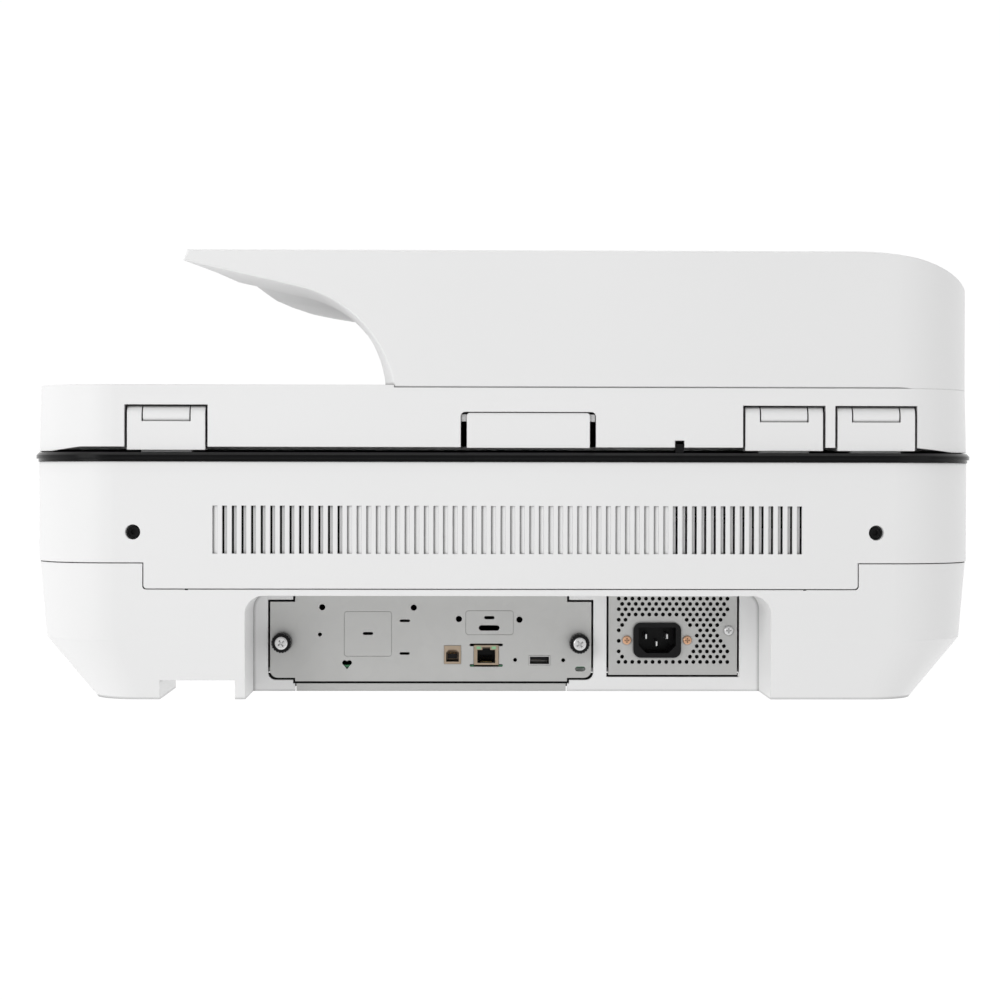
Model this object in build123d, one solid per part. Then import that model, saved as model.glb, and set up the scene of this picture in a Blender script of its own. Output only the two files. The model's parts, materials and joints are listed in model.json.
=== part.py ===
"""Large-format document scanner with a sheet feeder in its lid.

Frame: X to the machine's right as its user sees it from the front is +X, the rear face with the
connectors is at +Y, +Z is up. The origin is the centre of the box's base. Millimetres.
"""
from build123d import *
import math
import os

# ---- overall sizes ----
width = 624.6            # overall, across the platen frame
depth = 605.6            # overall, platen frame's rear to the tip of the control panel
height = 285.5           # feet to the top of the feeder
frame_proud = 1.8        # platen frame standing out past the housings
half_w = width / 2 - frame_proud
rear = depth / 2 - frame_proud
panel_overhang = 91.8    # control panel standing out of the front
front = -depth / 2 + panel_overhang
wall = 3.0               # moulded wall thickness
corner_r = 55.0          # plan radius of the rear corners
front_corner_r = 40.0
side_taper = 14.0        # how far the sides draw in towards the rear corners
side_taper_run = 100.0

# ---- heights ----
foot_h = 0.3             # rubber feet below the housing
crease_z = 38.0          # where the lower housing starts to draw in
seam_z = 87.2            # joint between lower and upper housing
seam_gap = 0.6
floor_z = 12.4           # underside of the lower housing's floor
floor_t = 3.0
deck_z = 151.2           # top of the upper housing
frame_top_z = 157.2      # top of the black platen frame
lid_z = 157.9            # lowest edge of the lid
lid_cut_z = 160.6        # lid's edge along the rear, raised for the hinges
lid_top_z = 200.0        # flat delivery side of the lid
feeder_z = 198.4         # joint between the lid and the feeder housing

# ---- lower housing draw ----
lower_seam_draw = 0.7    # sides, at the seam
lower_side_draw = 5.2    # sides, at the crease
foot_side_draw = 38.0    # sides, seam to foot
foot_rear_draw = 3.0
foot_front_draw = 20.0
skirt_t = 6.0

# ---- cable recess in the rear ----
recess_x0, recess_x1 = -169.0, 165.0
recess_top = 66.1
recess_depth = 62.0
recess_r = 11.5
recess_y = rear - recess_depth
panel_gap = 1.4          # shadow gap round panels set in the recess
notch_x0, notch_x1 = 171.5, 219.0   # cable notch under the rear edge

# ---- vent band ----
vent_count = 62
vent_pitch = 6.082
vent_x = 184.0           # the first louvre slot, at the +X end
vent_slot = 3.1
vent_z0, vent_z1 = 92.9, 123.3
vent_blind_depth = 1.6
vent_step_depth = 1.9    # depth beside the open slit
vent_slit = 1.25         # open part of a slot, on the side away from the middle
open_left = range(1, 14)            # counted from the +X end
open_right = range(48, 62)
baffle_gap = 9.0

# ---- rear cover screws ----
cover_screw_x = 236.0
cover_screw_z = 106.5
cover_screw_r = 4.8
cover_head_r = 3.7

# ---- hinges ----
pivot_z = 180.5
barrel_r = 6.4
pivot_y = rear - barrel_r - 0.8
hinge_w = 49.4
window_w = 31.0
knuckle_w = 29.4
pin_r = 2.5
hinge_fit = 0.03
pocket_w = 52.6
pocket_top = pivot_z + barrel_r + 0.4
hinge_x = {"light": 215.0, "inner": -177.2, "outer": -235.9}

# ---- platen ----
platen_x0, platen_x1 = -182.0, 254.0
platen_y0, platen_y1 = -160.0, 141.0
strip_x0, strip_x1 = -216.0, -194.0
glass_t = 3.0
glass_lap = 6.0
ledge_z = 153.2

# ---- scan carriage ----
carriage_x = -205.0
carriage_w = 58.0
carriage_travel = 430.0
carriage_z0, carriage_z1 = 106.0, 146.0
rail_r = 4.0
rail_fit = 0.05
rail_z = 114.0
rail_y = (-130.0, 110.0)
rail_end = 280.0
pulley_r = 8.0
pulley_x = 266.0
belt_y = 160.0
belt_w = 6.0
belt_t = 1.4
belt_z = 122.0
chassis_z = 88.6

# ---- feeder ----
feeder_front = -165.0
well_y0, well_y1 = -150.0, 155.0   # bay of the feed rollers
tray_y1 = 202.0          # rear side of the input tray's wider bay
lid_draw = 0.2           # lid edge in from the housing
feeder_draw = 1.3        # feeder and lid top in from the housing
end_z = 246.0            # where the feeder's round end starts
end_run = 85.0           # how far the round end reaches along X
tip_x = 204.0
tip_z = 278.5
bow_x, bow_z = 130.9, 262.0   # where the overhang's line turns into its bow
foot_x = 70.7            # foot of the bow on the lid
inner_foot_x = 76.5      # foot of the bow further in from the rear face
flare_run = 16.0
edge_soft = 1.0          # bevel round the rear face
front_deck_x = 98.0      # where the front wall of the feeder ends
end_cut = [(204.5, rear), (188.0, 252.0), (178.0, 202.0)]   # plan of the overhang's end
tray_end = [(177.4, 202.0), (116.0, -150.0)]                # plan of the tray's free edge
cover_x = -45.0          # joint between the jam cover and the input tray
cover_low = 205.5        # lower edge of the jam cover
tray_gap = 0.8

# ---- control panel ----
panel_w, panel_t = 230.0, 13.0
panel_tilt = 25.0
panel_edge = 1.2
panel_pivot_y = front - 13.0
panel_pivot_z = 138.0
panel_len = (depth / 2 + panel_pivot_y) / math.cos(math.radians(panel_tilt))
panel_len += panel_edge * math.tan(math.radians(panel_tilt))


def block(x0, x1, y0, y1, z0, z1):
    return Pos((x0 + x1) / 2, (y0 + y1) / 2, (z0 + z1) / 2) * Box(x1 - x0, y1 - y0, z1 - z0)


def rod_x(r, x0, x1, y, z):
    return Pos((x0 + x1) / 2, y, z) * Rot(0, 90, 0) * Cylinder(r, x1 - x0)


def rod_y(r, x, y0, y1, z):
    return Pos(x, (y0 + y1) / 2, z) * Rot(90, 0, 0) * Cylinder(r, y1 - y0)


def rod_z(r, x, y, z0, z1):
    return Pos(x, y, (z0 + z1) / 2) * Cylinder(r, z1 - z0)


def one(shape):
    """The largest solid of a shape."""
    return max(shape.solids(), key=lambda s: s.volume)


def outline(z, side=0.0, back=0.0, nose=0.0, grow=0.0):
    """Plan outline at height z, drawn in by side, back and nose."""
    w = half_w - side + grow
    yr = rear - back + grow
    yf = front + nose - grow
    yt = rear - side_taper_run
    pts = [(-w + side_taper, yr), (w - side_taper, yr), (w, yt), (w, yf), (-w, yf), (-w, yt)]
    face = make_face(Polyline(*pts, close=True))
    v = face.vertices()
    rear_v = [p for p in v if p.Y > yr - 1]
    side_v = [p for p in v if abs(p.Y - yt) < 1]
    front_v = [p for p in v if p.Y < yf + 1]
    face = fillet(rear_v, corner_r - min(side, 25.0))
    face = fillet([p for p in face.vertices() if abs(p.Y - yt) < 1 and abs(p.X) > w - 1], 120.0)
    face = fillet([p for p in face.vertices() if p.Y < yf + 1], front_corner_r - min(nose, 15.0))
    return Pos(0, 0, z) * face


def slab(z0, z1, **inset):
    return extrude(outline(z0, **inset), z1 - z0)


def lower_section(z, inset):
    """Outline of the lower housing at height z, inset by a wall."""
    if z >= crease_z:
        t = (seam_z - z) / (seam_z - crease_z)
        side = lower_seam_draw + (lower_side_draw - lower_seam_draw) * t
        return outline(z, side=side + inset, back=inset, nose=inset)
    t = (crease_z - z) / (crease_z - foot_h)
    return outline(
        z,
        side=lower_side_draw + (foot_side_draw - lower_side_draw) * t + inset,
        back=foot_rear_draw * t + inset,
        nose=foot_front_draw * t + inset,
    )


def lower_body(z0, z1, inset):
    """Solid between two heights of the lower housing's outline."""
    if z0 < crease_z < z1:
        return loft([lower_section(z0, inset), lower_section(crease_z, inset)], ruled=True) + loft(
            [lower_section(crease_z, inset), lower_section(z1, inset)], ruled=True
        )
    return loft([lower_section(z0, inset), lower_section(z1, inset)], ruled=True)


# ---------------------------------------------------------------- connector plate
io_x0, io_x1 = -58.0, 154.0
io_ear_x0, io_ear_x1 = -42.0, 137.5
io_ear_top, io_ear_z, io_foot_z = 59.2, 9.0, 6.7
io_t = 1.2
port_y = recess_y + 0.4
usb_b = (33.7, 24.3)
lan = (11.4, 24.1)
usb_a = (-23.8, 20.6)
thumb = ((146.0, 32.5), (-50.0, 32.1))
thumb_r = 6.5

psu_x0, psu_x1 = -154.6, -69.5
psu_z0 = 11.0
psu_y0 = 95.0
inlet = (-101.6, 34.0)
inlet_w, inlet_h = 31.5, 23.1
inlet_screw_pitch = 40.0
earth_screw = (-149.0, 40.4)
small_screw_r = 2.9
small_shank_r = 1.2


def io_face(grow):
    """Connector plate outline in X and Z, grown by a clearance."""
    g = grow
    top = recess_top + 4
    pts = [
        (io_x0 - g, io_ear_z - g),
        (io_ear_x0 - g, io_ear_z - g),
        (io_ear_x0 - g, io_foot_z - g),
        (io_ear_x1 + g, io_foot_z - g),
        (io_ear_x1 + g, io_ear_z - g),
        (io_x1 + g, io_ear_z - g),
        (io_x1 + g, io_ear_top + g),
        (io_ear_x1 + g, io_ear_top + g),
        (io_ear_x1 + g, top),
        (io_ear_x0 - g, top),
        (io_ear_x0 - g, io_ear_top + g),
        (io_x0 - g, io_ear_top + g),
    ]
    face = make_face(Polyline(*pts, close=True))
    low = [p for p in face.vertices() if abs(p.Y - (io_ear_z - g)) < 0.1 and not io_ear_x0 - g - 1 < p.X < io_ear_x1 + g + 1]
    face = fillet(low, 5.0)
    return face


def upright(face, y, t):
    """A sketch drawn in X and Z, stood up with its rear face at y and thickness t."""
    return Pos(0, y, 0) * Rot(90, 0, 0) * extrude(face, t)


def slot_face(x, z, w, h):
    return Pos(x, z) * SlotOverall(w, h) if w > h else Pos(x, z) * Rot(0, 0, 90) * SlotOverall(h, w)


def heart_face(x, z, size):
    """Indicator window: two round lobes over a point."""
    lobe = size * 0.27
    drop = size * 0.62
    body = make_face(
        Polyline((-size * 0.49, 0.0), (0, -drop), (size * 0.49, 0.0), (0, size * 0.2), close=True)
    )
    return Pos(x, z) * (body + Pos(-lobe * 0.85, 0.3) * Circle(lobe) + Pos(lobe * 0.85, 0.3) * Circle(lobe))


def connector_plate():
    plate = upright(io_face(0), recess_y, io_t)
    holes = []
    for x, z, r in [
        (119.7, 55.6, 2.0), (59.3, 55.4, 2.0), (121.2, 37.6, 1.3), (29.5, 47.9, 2.05),
        (-10.5, 47.5, 2.05), (-7.7, 20.9, 1.3), (-39.5, 20.7, 1.3),
    ]:
        holes.append(Pos(x, z) * Circle(r))
    for x, z, w, h in [
        (65.2, 46.7, 6.8, 1.7), (89.5, 38.3, 6.8, 1.9), (65.3, 25.1, 6.8, 1.7), (9.4, 48.8, 6.7, 2.1),
        (lan[0], lan[1] + 6.7, 22.0, 1.7), (lan[0], lan[1] - 6.9, 22.0, 1.7), (-50.8, 14.9, 6.8, 3.2), (9.5, 42.0, 13.7, 3.6),
    ]:
        holes.append(slot_face(x, z, w, h))
    holes.append(heart_face(103.3, 18.6, 6.4))
    holes.append(Pos(*usb_b) * Rectangle(11.2, 12.2))
    holes.append(Pos(*lan) * Rectangle(16.6, 13.4))
    holes.append(Pos(*usb_a) * Rectangle(14.2, 6.4))
    for x, z in thumb:
        holes.append(Pos(x, z) * Circle(3.2))
    cut = holes[0]
    for h in holes[1:]:
        cut = cut + h
    plate -= upright(cut, recess_y + 1, io_t + 2)
    # shallow pressed outlines of the two blanked windows
    for x0, x1, z0, z1 in [(73.7, 105.3, 23.1, 53.0), (-6.7, 25.1, 37.4, 53.6)]:
        w, h = x1 - x0, z1 - z0
        ring = RectangleRounded(w, h, 2.0) - RectangleRounded(w - 0.7, h - 0.7, 1.7)
        plate -= upright(Pos((x0 + x1) / 2, (z0 + z1) / 2) * ring, recess_y + 0.1, 0.35)
    return plate


def lower_housing():
    outer = lower_body(foot_h, seam_z - seam_gap, 0)
    tub = outer - lower_body(floor_z + floor_t, seam_z + 2, wall)
    tub -= lower_body(foot_h - 0.01, floor_z, skirt_t) - block(notch_x1, notch_x1 + 8, 215, rear + 1, 0, floor_z + 1)
    notch = block(notch_x0, notch_x1, front - 5, rear + 5, -1, floor_z)
    tub -= notch
    # recess lined with its own walls
    lined = block(recess_x0 - 2.5, recess_x1 + 2.5, recess_y - 3, rear + 1, foot_h, recess_top + 2.5)
    tub -= block(recess_x0, recess_x1, recess_y - 3, rear + 5, -1, recess_top)
    tub += lined & outer
    hole = make_face(
        Polyline(
            (recess_x0, -2), (recess_x1, -2), (recess_x1, recess_top), (recess_x0, recess_top), close=True
        )
    )
    hole = fillet([p for p in hole.vertices() if p.Y > 0], recess_r)
    tub -= upright(hole, rear + 5, recess_depth + 5)
    # openings in the recess's back wall, up into the housing behind its lintel
    tub -= block(io_ear_x0, io_ear_x1, recess_y - 5, recess_y + 1, 0, io_foot_z)
    tub -= upright(io_face(panel_gap), recess_y + 1, 8)
    tub -= block(psu_x0 - panel_gap, psu_x1 + panel_gap, recess_y - 8, recess_y + 1, psu_z0 - panel_gap, recess_top + 6)
    # room for the drop skirt of the upper housing
    tub -= upright(skirt_face(0), rear + 2, wall + 2.6)
    return one(tub)


skirt_x0, skirt_x1 = -224.8, 229.8
skirt_z = 70.7


def skirt_face(grow):
    """The drop skirt in X and Z, with rounded lower corners."""
    x0, x1 = skirt_x0 - grow, skirt_x1 + grow
    z0 = skirt_z - seam_gap - grow
    face = make_face(Polyline((x0, z0), (x1, z0), (x1, seam_z + 1), (x0, seam_z + 1), close=True))
    return fillet([p for p in face.vertices() if p.Y < seam_z], 2.2)


def vents():
    """Louvre slots: blind ones with a slanting floor, open ones with a slit along one side."""
    cuts = []
    for i in range(vent_count):
        x = vent_x - i * vent_pitch
        x0, x1 = x - vent_slot / 2, x + vent_slot / 2
        if i in open_left or i in open_right:
            cuts.append(block(x0, x1, rear - vent_step_depth, rear + 1, vent_z0, vent_z1))
            side = (x1 - vent_slit, x1) if x > 0 else (x0, x0 + vent_slit)
            cuts.append(block(*side, rear - wall - 1, rear - 1, vent_z0, vent_z1))
        else:
            floor = [(x0, rear + 1), (x1, rear + 1), (x1, rear - vent_blind_depth), (x0, rear - 0.4)]
            cuts.append(extrude(Pos(0, 0, vent_z0) * make_face(Polyline(*floor, close=True)), vent_z1 - vent_z0))
    return cuts


def upper_housing():
    body = slab(seam_z, deck_z) - slab(seam_z - 1, deck_z - wall, side=wall, back=wall, nose=wall)
    body -= slab(deck_z - wall - 1, deck_z + 1, side=22, back=22, nose=22)
    body += upright(skirt_face(-0.6), rear, wall)
    for s in (-1, 1):
        x = s * cover_screw_x
        body += rod_y(cover_screw_r + 2, x, rear - 12, rear - wall + 0.5, cover_screw_z)
        body -= rod_y(cover_screw_r, x, rear - 9, rear + 1, cover_screw_z)
        body -= rod_y(2.0, x, rear - 13, rear - 8, cover_screw_z)
    body -= vents()
    for x in hinge_x.values():
        body -= block(x - 16.3, x + 16.3, pivot_y - barrel_r - 0.3, rear - wall, deck_z - wall - 1, deck_z + 1)
    body -= rod_y(button_r + 0.4, button_x, front - 1, front + wall + 1, button_z)
    return one(body)


button_x, button_z, button_r = 255.0, 118.0, 8.0
button_travel = 1.5


def vent_baffle():
    """Inner louvre behind the open vents: one rib behind each slot, on top and bottom rails."""
    y0, y1 = rear - wall - baffle_gap - 2, rear - wall - baffle_gap
    start = (vent_count - 1) * vent_pitch / 2
    x_end = start + vent_pitch
    body = block(-x_end, x_end, y0, y1, vent_z1 + 1, vent_z1 + 8)
    body += block(-x_end, x_end, y0, y1, vent_z0 - 3.5, vent_z0 - 0.5)
    first, last = open_left[-1], open_right[0]
    body += block(start - (last - 0.5) * vent_pitch, start - (first + 0.5) * vent_pitch, y0, y1, vent_z0 - 1, vent_z1 + 2)
    ribs = []
    for i in [*range(0, first + 1), *range(last, vent_count)]:
        x = start - i * vent_pitch
        ribs.append(block(x - 1.9, x + 1.9, y0, y1, vent_z0 - 1, vent_z1 + 2))
    body = body + ribs
    return one(body)


def platen_frame():
    bottom = slab(deck_z, ledge_z, grow=frame_proud - 1.2)
    top = slab(ledge_z, frame_top_z, grow=frame_proud)
    top = chamfer(top.faces().sort_by(Axis.Z)[-1].outer_wire().edges(), 1.8)
    body = bottom + top
    for x0, x1 in ((platen_x0, platen_x1), (strip_x0, strip_x1)):
        body -= block(x0, x1, platen_y0, platen_y1, deck_z - 1, frame_top_z + 1)
    lap = glass_lap + 0.3
    body -= block(strip_x0 - lap, platen_x1 + lap, platen_y0 - lap, platen_y1 + lap, deck_z - 1, ledge_z)
    for x in hinge_x.values():
        body -= block(x - 16.3, x + 16.3, pivot_y - barrel_r - 0.3, rear - wall, deck_z - 1, frame_top_z + 1)
    return one(body)


def glass(x0, x1):
    return block(x0, x1, platen_y0 - glass_lap, platen_y1 + glass_lap, ledge_z - glass_t, ledge_z)


def chassis():
    """Steel deck over the electronics, with end brackets that hold the carriage rails."""
    body = block(-290, 290, front + 20, 215, chassis_z, chassis_z + 1.5)
    for s in (-1, 1):
        x = s * (rail_end + 1)
        for y in rail_y:
            body += block(x - 1, x + 1, y - 20, y + 20, chassis_z, rail_z + 14)
            body -= rod_x(rail_r + rail_fit, x - 2, x + 2, y, rail_z)
    body -= rod_z(12, -150, 190, chassis_z - 1, chassis_z + 3)
    return one(body + idler_bracket())


def rails():
    return [rod_x(rail_r, -rail_end - 3, rail_end + 3, y, rail_z) for y in rail_y]


def carriage():
    x0, x1 = carriage_x - carriage_w / 2, carriage_x + carriage_w / 2
    body = block(x0, x1, -160, 140, carriage_z0, carriage_z1)
    body -= block(carriage_x - 5, carriage_x + 5, -155, 135, carriage_z0 + 8, carriage_z1 + 1)
    body -= block(carriage_x - 22, carriage_x - 11, -156, 136, carriage_z1 - 5, carriage_z1 + 1)
    for y in rail_y:
        body -= rod_x(rail_r + rail_fit, x0 - 1, x1 + 1, y, rail_z)
    # belt clamp: an arm with a slot round the belt's upper run
    top = belt_z + pulley_r + belt_t
    body += block(carriage_x - 10, carriage_x + 10, 139, belt_y + belt_w / 2 + 3, top - belt_t - 3.5, top + 3.5)
    body -= block(
        carriage_x - 11, carriage_x + 11, belt_y - belt_w / 2 - 0.4, belt_y + belt_w / 2 + 0.4,
        top - belt_t - 0.4, top + 0.4,
    )
    return one(body)


def light_bar():
    return block(carriage_x - 21.5, carriage_x - 11.5, -155.5, 135.5, carriage_z1 - 4.6, carriage_z1 - 0.6)


def loop_belt(xa, xb, r, t, y, w, z):
    """Belt round two equal pulleys on axes along Y."""
    outer = Pos((xa + xb) / 2, z) * SlotCenterToCenter(abs(xb - xa), 2 * (r + t))
    inner = Pos((xa + xb) / 2, z) * SlotCenterToCenter(abs(xb - xa), 2 * r)
    return upright(outer - inner, y + w / 2, w)


def pulley(x, z, r, y, w, bore_r):
    body = rod_y(r - 0.1, x, y - w / 2 - 0.2, y + w / 2 + 0.2, z)
    body += rod_y(r + 2, x, y - w / 2 - 1.4, y - w / 2 - 0.2, z)
    body += rod_y(r + 2, x, y + w / 2 + 0.2, y + w / 2 + 1.4, z)
    return body - rod_y(bore_r, x, y - w, y + w, z)


def stepper_motor():
    x = -pulley_x
    y0 = belt_y + belt_w / 2 + 3
    body = block(x - 21, x + 21, y0, y0 + 34, belt_z - 21, belt_z + 21)
    body = chamfer(body.edges().filter_by(Axis.Y), 4)
    return body - rod_y(3.5, x, y0 - 1, y0 + 12, belt_z)


def idler_bracket():
    x = pulley_x
    y0 = belt_y + belt_w / 2 + 3
    body = block(x - 12, x + 12, y0, y0 + 3, chassis_z + 1.5, belt_z + 10)
    body += block(x - 12, x + 12, y0, y0 + 20, chassis_z + 1.5, chassis_z + 3.5)
    body += rod_y(2.5, x, belt_y - 6, y0 + 1, belt_z)
    return one(body)


# ---------------------------------------------------------------- power supply
def power_supply():
    """Steel box with a perforated rear panel."""
    y1 = recess_y - 0.4
    top = seam_z - 4
    low = floor_z + floor_t + 0.3
    t = io_t
    box = block(psu_x0, psu_x1, recess_y - 7, y1, psu_z0, recess_top + 4)
    box += block(psu_x0, psu_x1, psu_y0, recess_y - 6, low, top)
    box -= block(psu_x0 + t, psu_x1 - t, psu_y0 + t, y1 - t, low + t, recess_top + 4 - t)
    cx, cz = inlet
    pitch, row = 4.5, 3.49
    spots = []
    for i in range(13):
        z = cz + (7.86 - i) * row
        odd = i % 2
        for k in range(17 - odd):
            x = cx + 25.35 - (k + odd / 2) * pitch
            dx, dz = abs(x - cx), abs(z - cz)
            near_inlet = dz < 14.0 and dx < min(25.3, 30.4 - 0.95 * dz)
            near_earth = math.hypot(x - earth_screw[0], z - earth_screw[1]) < 7.9
            if not near_inlet and not near_earth:
                spots.append((x, z))
    cut = Sketch() + [Pos(x, z) * Circle(1.3) for x, z in spots]
    cut += Pos(cx, cz) * RectangleRounded(inlet_w - 2, inlet_h - 2, 4.5)
    half = inlet_screw_pitch / 2
    for x, z in ((cx - half, cz), (cx + half, cz), earth_screw):
        cut += Pos(x, z) * Circle(small_shank_r + 0.05)
    box -= upright(cut, y1 + 1, 3)
    return one(box)


def power_inlet():
    """Mains inlet body: a proud rounded collar, a through body and a cavity with two cut corners."""
    cx, cz = inlet
    y1 = recess_y - 0.4
    collar = Pos(cx, cz) * RectangleRounded(inlet_w, inlet_h, 5.0)
    body = upright(collar, y1 + 2.4, 2.4)
    body += upright(Pos(cx, cz) * RectangleRounded(inlet_w - 2.4, inlet_h - 2.4, 4.0), y1 + 0.2, 26)
    w, h, c = 12.3, 8.5, 5.0
    cavity = make_face(
        Polyline((-w, h), (-w, -h + c), (-w + c, -h), (w - c, -h), (w, -h + c), (w, h), close=True)
    )
    body -= upright(Pos(cx, cz) * cavity, y1 + 3, 20)
    for x, z in inlet_pins_at():
        body -= block(x - 1.0, x + 1.0, y1 - 27, y1 - 16, z - 2.0, z + 2.0)
    return one(body)


def inlet_pins_at():
    cx, cz = inlet
    return ((cx - 7.0, cz + 2.2), (cx + 7.0, cz + 2.2), (cx, cz - 2.6))


def inlet_pins():
    y1 = recess_y - 0.4
    pins = []
    for x, z in inlet_pins_at():
        pin = block(x - 0.95, x + 0.95, y1 - 30, y1 - 3, z - 1.95, z + 1.95)
        tip = pin.faces().sort_by(Axis.Y)[-1].edges()
        pins.append(chamfer(tip, 0.5))
    return pins


def pan_screw(x, y, z, head_r, head_h, shank_r, shank):
    """Cross-headed screw along Y whose head stands out of the plane y."""
    body = rod_y(head_r, x, y, y + head_h, z)
    body = fillet(body.faces().sort_by(Axis.Y)[-1].edges(), head_h * 0.45)
    body += rod_y(shank_r, x, y - shank, y, z)
    arm = head_r * 0.55
    cross = block(x - arm, x + arm, y + head_h - 0.9, y + head_h + 1, z - 0.35, z + 0.35)
    cross += block(x - 0.35, x + 0.35, y + head_h - 0.9, y + head_h + 1, z - arm, z + arm)
    return body - cross


# ---------------------------------------------------------------- ports
def usb_b_port():
    x, z = usb_b
    shell = block(x - 5.5, x + 5.5, recess_y - 16, port_y, z - 6.0, z + 6.0)
    mouth = make_face(
        Polyline((-4.2, -4.6), (4.2, -4.6), (4.2, 1.4), (2.4, 3.4), (-2.4, 3.4), (-4.2, 1.4), close=True)
    )
    shell -= upright(Pos(x, z) * mouth, port_y + 1, 13)
    return shell + block(x - 2.8, x + 2.8, recess_y - 14, recess_y - 3, z - 2.6, z + 0.4)


def ethernet_port():
    x, z = lan
    shell = block(x - 8.1, x + 8.1, recess_y - 18, port_y, z - 6.5, z + 6.5)
    shell -= block(x - 5.9, x + 5.9, recess_y - 15, port_y + 1, z - 5.2, z + 3.4)
    shell -= block(x - 2.6, x + 2.6, recess_y - 15, port_y + 1, z + 3.2, z + 5.2)
    for s in (-1, 1):
        shell -= block(x + s * 5 - 1.4, x + s * 5 + 1.4, port_y - 0.6, port_y + 1, z + 3.9, z + 5.7)
    return shell


def port_lamps():
    x, z = lan
    return [block(x + s * 5 - 1.4, x + s * 5 + 1.4, port_y - 0.6, port_y - 0.1, z + 3.9, z + 5.7) for s in (-1, 1)]


def usb_a_port():
    x, z = usb_a
    shell = block(x - 7.0, x + 7.0, recess_y - 15, port_y - 0.2, z - 3.1, z + 3.1)
    shell -= block(x - 6.3, x + 6.3, recess_y - 13, port_y + 1, z - 2.4, z + 2.4)
    return shell + block(x - 5.6, x + 5.6, recess_y - 14, recess_y - 2, z + 0.3, z + 1.9)


def circuit_board():
    body = block(-55, 150, 110, recess_y - io_t - 0.3, 15.9, 17.4)
    body += block(60, 85, 150, 175, 17.4, 20)
    body += block(-35, -15, 140, 165, 17.4, 19.5)
    body += block(100, 140, 120, 126, 17.4, 24)
    cut = block(usb_b[0] - 5.6, usb_b[0] + 5.6, recess_y - 16.1, recess_y, 10, 40)
    cut += block(lan[0] - 8.2, lan[0] + 8.2, recess_y - 18.1, recess_y, 10, 40)
    cut += block(usb_a[0] - 7.1, usb_a[0] + 7.1, recess_y - 15.1, recess_y, 10, 40)
    return one(body - cut)


def board_channel():
    """Steel channel under the floor whose rear flange shows below the connector plate."""
    x0, x1 = io_ear_x0 + 0.8, io_ear_x1 - 0.8
    y0, y1 = recess_y - 16, recess_y - 0.2
    body = block(x0, x1, y1 - io_t, y1, foot_h, io_foot_z - panel_gap)
    body += block(x0, x1, y0, y1, foot_h, foot_h + io_t)
    body += block(x0, x1, y0, y0 + io_t, foot_h, floor_z)
    return one(body)


def thumbscrew(x, z):
    """Captive screw: black knurled knob with a cross-headed steel centre."""
    y = recess_y
    body = rod_y(thumb_r, x, y + 0.1, y + 10, z)
    ribs = []
    for k in range(20):
        a = 2 * math.pi * k / 20
        ribs.append(rod_y(0.45, x + thumb_r * math.cos(a), y - 1, y + 11, z + thumb_r * math.sin(a)))
    body = body - ribs
    body -= rod_y(4.35, x, y + 7.0, y + 11, z)
    return body + rod_y(2.9, x, y - 12, y + 0.2, z)


def thumb_centre(x, z):
    y = recess_y + 7.0
    body = rod_y(4.3, x, y, y + 4.2, z)
    body = fillet(body.faces().sort_by(Axis.Y)[-1].edges(), 0.8)
    cross = block(x - 2.4, x + 2.4, y + 3.0, y + 5, z - 0.5, z + 0.5)
    cross += block(x - 0.5, x + 0.5, y + 3.0, y + 5, z - 2.4, z + 2.4)
    return body - Pos(x, 0, z) * Rot(0, 35, 0) * Pos(-x, 0, -z) * cross


def cover_screw(s):
    x = s * cover_screw_x
    y = rear - 9
    body = rod_y(cover_head_r, x, y, y + 4, cover_screw_z) + rod_y(1.95, x, y - 8, y, cover_screw_z)
    hexagon = Pos(x, cover_screw_z) * RegularPolygon(1.9, 6)
    return body - upright(hexagon, y + 5, 3)


def feet():
    spots = [(-246, 240), (246, 240), (-246, -150), (246, -150)]
    return [rod_z(9, x, y, 0, floor_z) for x, y in spots]


# ---------------------------------------------------------------- hinges
def hinge_post(x):
    """Fixed half of a hinge: a round-topped post with two ears, set into the housing."""
    y0, y1 = pivot_y - barrel_r, pivot_y + barrel_r
    body = block(x - hinge_w / 2, x + hinge_w / 2, y0, y1, frame_top_z + 1.4, pivot_z)
    body += rod_x(barrel_r, x - hinge_w / 2, x + hinge_w / 2, pivot_y, pivot_z)
    body += block(x - 16, x + 16, y0, rear - wall - 0.3, 134, frame_top_z + 3)
    w = window_w / 2
    body -= rod_x(barrel_r + 0.3, x - w, x + w, pivot_y, pivot_z)
    body -= block(x - w, x + w, pivot_y, y1 + 1, 176.8, pivot_z + 10)
    body -= block(x - w, x + w, y0 - 1, pivot_y, pivot_z - barrel_r - 0.3, pivot_z + 10)
    return one(body - rod_x(pin_r, x - 24.3, x + 24.3, pivot_y, pivot_z))


def hinge_knuckle(x):
    """Lid half of a hinge: a barrel with an arm that reaches forward into the lid."""
    w = knuckle_w / 2
    body = rod_x(barrel_r - 0.1, x - w, x + w, pivot_y, pivot_z)
    body += block(x - w, x + w, 262, pivot_y, pivot_z, pivot_z + barrel_r - 0.1)
    return one(body - rod_x(pin_r + hinge_fit, x - w - 1, x + w + 1, pivot_y, pivot_z))


def hinge_pins():
    return [rod_x(pin_r, x - 24, x + 24, pivot_y, pivot_z) for x in hinge_x.values()]


# ---------------------------------------------------------------- lid
tab_x0, tab_x1 = -53.5, 24.6
tab_gap = 3.9
tab_top = 183.0
flag_x, flag_w = -110.6, 5.2
flag_top = 162.8
sensor_notch_h = 4.4


def lid_body(z0, z1, inset, top_z):
    """Lofted lid between two heights; its sides draw in towards the top."""
    def section(z):
        t = (z - lid_z) / (lid_top_z - lid_z)
        draw = lid_draw + (feeder_draw - lid_draw) * t + inset
        return outline(z, side=draw, back=inset, nose=draw)
    return loft([section(z0), section(z1)], ruled=True)


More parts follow.
